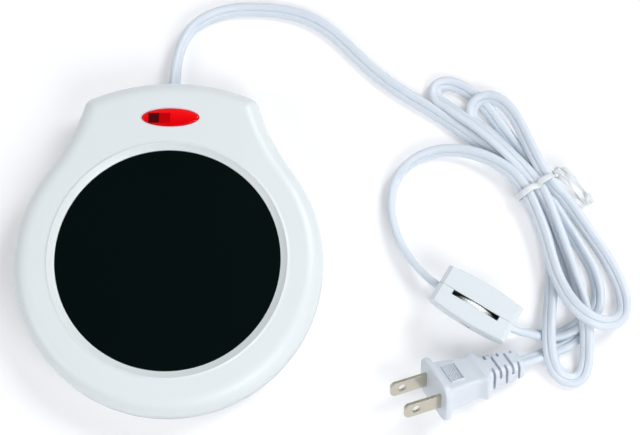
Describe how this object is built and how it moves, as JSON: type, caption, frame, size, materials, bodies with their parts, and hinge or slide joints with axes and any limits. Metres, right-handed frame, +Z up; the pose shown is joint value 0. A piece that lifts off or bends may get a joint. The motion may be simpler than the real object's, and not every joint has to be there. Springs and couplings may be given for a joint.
{
  "type": "electric mug warmer",
  "caption": "Round hot plate in a white plastic case that narrows to its cord side, with an indicator lens, a flat cord in tied loops, a thumb wheel switch and a two blade plug.",
  "frame": {"origin": "on the plane the feet stand on, under the middle of the warmer's outline without its cord", "axes": "+Z up out of the warming plate, +Y toward the side the cord leaves, +X to the right of that"},
  "size_m": [0.2437, 0.1715, 0.026],
  "materials": {
    "housing_white": "smooth moulded, semi-gloss",
    "cover_white": "fine moulded",
    "plate_black": "baked enamel, satin",
    "steel": "zinc plated",
    "mica": "translucent mica",
    "element": "resistance alloy",
    "insulation": "ceramic fibre",
    "rubber_grey": "soft rubber",
    "lens_red": "clear tinted plastic",
    "lamp_glass": "neon lamp glass",
    "sleeve_dark": "woven glass sleeve",
    "resistor": "lacquered",
    "lead_insulation": "insulated lead",
    "crimp": "tinned",
    "fuse_metal": "polished case",
    "switch_white": "smooth moulded",
    "wheel_white": "moulded, knurled rim",
    "brass": "stamped",
    "plug_white": "soft moulded",
    "blade_metal": "nickel plated",
    "cord_white": "extruded flat cord",
    "tie_white": "flat plastic ribbon over wire"
  },
  "bodies": {
    "warmer": {"upper_housing": "housing_white", "bottom_cover": "cover_white", "warming_plate": "plate_black", "plate_studs": "steel", "stud_nuts": "steel", "upper_mica_sheet": "mica", "heater_core": "mica", "heating_ribbon": "element", "lower_mica_sheet": "mica", "pressure_plate": "steel", "insulation_pad": "insulation", "cover_screws": "steel", "rubber_feet": "rubber_grey", "clamp_screws": "steel", "cord_clamp": "cover_white", "indicator_lens": "lens_red", "neon_lamp": "lamp_glass", "lamp_sleeve": "sleeve_dark", "lamp_resistor": "resistor", "live_lead": "lead_insulation", "neutral_lead": "lead_insulation", "crimp_connectors": "crimp", "lamp_leads": "lead_insulation", "fuse_lead": "lead_insulation", "heater_lead": "lead_insulation", "thermal_fuse": "fuse_metal", "fuse_sleeve": "sleeve_dark", "switch_shell_far": "switch_white", "switch_shell_near": "switch_white", "wheel_axle": "steel", "switch_terminals": "brass", "switch_screw": "steel", "switch_nut": "steel", "bypass_lead": "lead_insulation", "switch_leads": "lead_insulation", "plug_body": "plug_white", "plug_blades": "blade_metal", "warmer_cord_stretch": "cord_white", "warmer_cord_loops": "cord_white", "warmer_cord_switch_stretch": "cord_white", "plug_cord_switch_stretch": "cord_white", "plug_cord_loops": "cord_white", "plug_cord_stretch": "cord_white", "cord_tie": "tie_white"},
    "wheel": {"thumb_wheel": "wheel_white", "wheel_contact": "brass"}
  },
  "joints": [
    {"name": "thumb_wheel_turn", "type": "hinge", "parent": "warmer", "child": "wheel", "pos_m": [0.119, -0.023, 0.0095], "axis": [0.5225, 0.8526, 0], "continuous": true}
  ]
}
